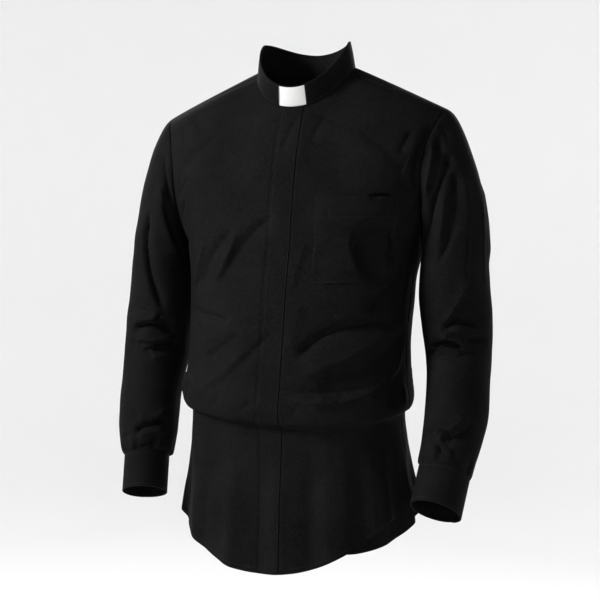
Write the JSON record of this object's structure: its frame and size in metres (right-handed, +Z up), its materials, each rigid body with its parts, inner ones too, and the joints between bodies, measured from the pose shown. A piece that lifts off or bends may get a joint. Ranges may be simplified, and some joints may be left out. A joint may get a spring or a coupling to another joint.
{
  "type": "clergy shirt",
  "caption": "Long-sleeved black clergy shirt in its worn shape, with a tab collar and white insert, fly front, breast pocket, yoke and buttoned cuffs.",
  "frame": {"origin": "on the middle plane between the two points where the collar meets the shoulders, at their height", "axes": "+X towards the wearer's left, +Y towards the wearer's back, +Z up"},
  "size_m": [0.5843, 0.2621, 0.7827],
  "materials": {
    "cloth": "plain woven, matt",
    "insert": "smooth, satin",
    "button": "satin"
  },
  "bodies": {
    "root": {"front_left": "cloth", "front_right": "cloth", "back": "cloth", "yoke": "cloth", "placket": "cloth", "pocket": "cloth", "sleeve_left": "cloth", "sleeve_right": "cloth", "sleeve_slit_left": "cloth", "sleeve_slit_right": "cloth", "cuff_left": "cloth", "cuff_right": "cloth", "cuff_button_left": "button", "cuff_button_right": "button", "collar_stand": "cloth", "collar_band": "cloth", "tab_insert": "insert"}
  },
  "joints": []
}
